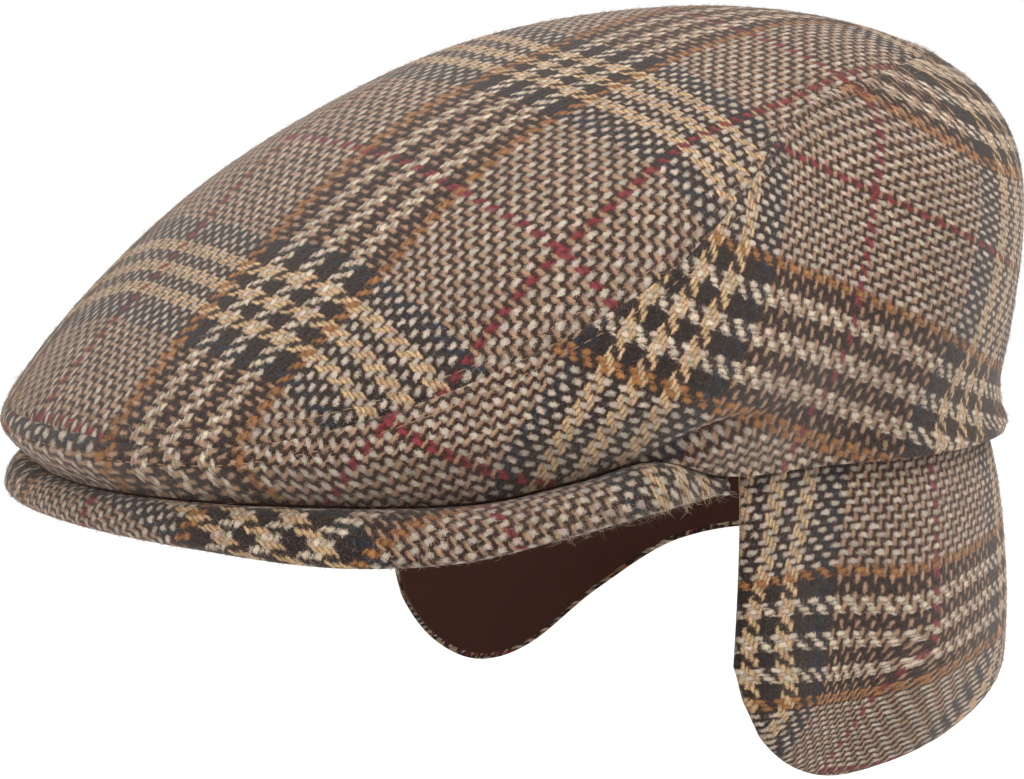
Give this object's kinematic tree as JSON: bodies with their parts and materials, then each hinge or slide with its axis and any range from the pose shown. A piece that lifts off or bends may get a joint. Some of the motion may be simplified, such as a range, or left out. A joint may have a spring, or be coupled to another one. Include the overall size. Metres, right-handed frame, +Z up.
{
  "type": "flat cap with ear flaps",
  "caption": "Tweed flat cap with a sloping crown, a short cloth-covered peak and a lined ear and neck flap folded down round the back.",
  "frame": {"origin": "middle of the head opening, at the height of the crown's lower edge", "axes": "-Y to the front of the cap, +X to the wearer's left, +Z up"},
  "size_m": [0.215, 0.256, 0.1791],
  "materials": {
    "tweed": "brown and cream checked wool tweed",
    "lining": "plain dark brown woven lining"
  },
  "bodies": {
    "root": {"top_panel": "tweed", "side_panel_left": "tweed", "side_panel_right": "tweed", "peak": "tweed", "ear_flap": "tweed", "ear_flap_lining": "lining"}
  },
  "joints": []
}
